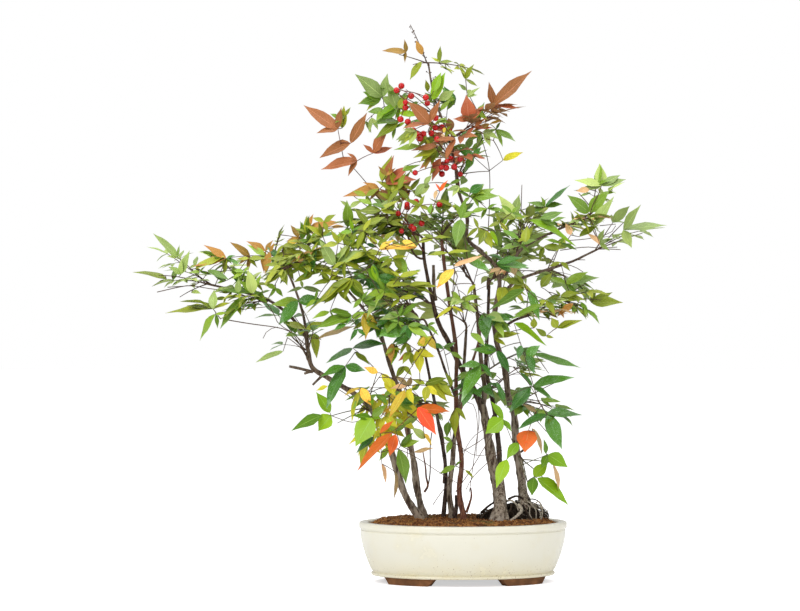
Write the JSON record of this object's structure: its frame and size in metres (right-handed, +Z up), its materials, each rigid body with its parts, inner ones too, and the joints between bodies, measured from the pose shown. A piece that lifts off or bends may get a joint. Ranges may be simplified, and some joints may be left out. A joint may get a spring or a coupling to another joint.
{
  "type": "potted bonsai tree",
  "caption": "Heavenly bamboo bonsai in an oval cream glazed pot: slender leaning stems, airy sprays of narrow leaves in greens, bronze, yellow and scarlet, and small red fruit.",
  "frame": {"origin": "on the ground, under the middle of the whole plant's bounding box", "axes": "+X to the right in the picture, +Y away from the viewer, +Z up"},
  "size_m": [0.6688, 0.3578, 0.6953],
  "materials": {
    "pot_glaze": "cream satin glaze",
    "soil": "matte fired clay granules with moss",
    "old_roots": "rough matte",
    "grey_bark": "fissured matte",
    "red_bark": "smooth matte",
    "dark_bark": "matte",
    "leaf_green": "waxy satin leaf",
    "leaf_dark_green": "waxy glossy leaf",
    "leaf_olive": "waxy satin leaf",
    "leaf_pale_green": "waxy satin leaf",
    "leaf_lime": "waxy satin leaf",
    "leaf_bronze": "waxy satin leaf",
    "leaf_autumn_yellow": "dull satin leaf",
    "leaf_scarlet": "satin leaf",
    "fruit_red": "glossy skin"
  },
  "bodies": {
    "root": {"pot": "pot_glaze", "soil": "soil", "root_mound": "old_roots", "stem_left": "grey_bark", "stem_left_upright": "grey_bark", "stem_thin": "dark_bark", "stem_grey": "grey_bark", "stem_red": "red_bark", "bough_red_right": "red_bark", "bough_red_left": "dark_bark", "trunk": "grey_bark", "bough_trunk_left": "grey_bark", "bough_trunk_right": "grey_bark", "stem_dark": "dark_bark", "stem_right": "grey_bark", "bough_apex": "grey_bark", "bough_right_upper": "grey_bark", "bough_right": "grey_bark", "bough_right_low": "dark_bark", "bough_left_far": "dark_bark", "bough_left_up": "grey_bark", "bough_left_mid": "grey_bark", "foliage_apex": "leaf_olive", "foliage_crown_right": "leaf_bronze", "foliage_crown_front": "leaf_bronze", "foliage_crown_left": "leaf_lime", "foliage_bronze_spray": "leaf_bronze", "foliage_crown_back": "leaf_green", "foliage_berries": "fruit_red", "foliage_top_left": "leaf_olive", "foliage_top_centre": "leaf_green", "foliage_top_right": "leaf_olive", "foliage_mid_left": "leaf_green", "foliage_mid_centre": "leaf_green", "foliage_mid_right": "leaf_green", "foliage_front_left": "leaf_dark_green", "foliage_front_right": "leaf_green", "foliage_back_left": "leaf_green", "foliage_back_centre": "leaf_olive", "foliage_back_right": "leaf_green", "foliage_inner": "leaf_green", "foliage_left_far": "leaf_pale_green", "foliage_left_near": "leaf_olive", "foliage_left_up": "leaf_bronze", "foliage_left_mid": "leaf_olive", "foliage_left_low": "leaf_dark_green", "foliage_right_far": "leaf_pale_green", "foliage_right_top": "leaf_olive", "foliage_right_mid": "leaf_pale_green", "foliage_right_low": "leaf_olive", "foliage_right_low_inner": "leaf_green", "foliage_right_back": "leaf_green", "foliage_lower_left": "leaf_dark_green", "foliage_autumn_left": "leaf_autumn_yellow", "foliage_scarlet": "leaf_scarlet", "foliage_lower_right": "leaf_dark_green", "foliage_lower_right_bright": "leaf_lime", "foliage_lower_centre": "leaf_dark_green", "foliage_lower_back_left": "leaf_green", "foliage_lower_back_right": "leaf_green"}
  },
  "joints": []
}
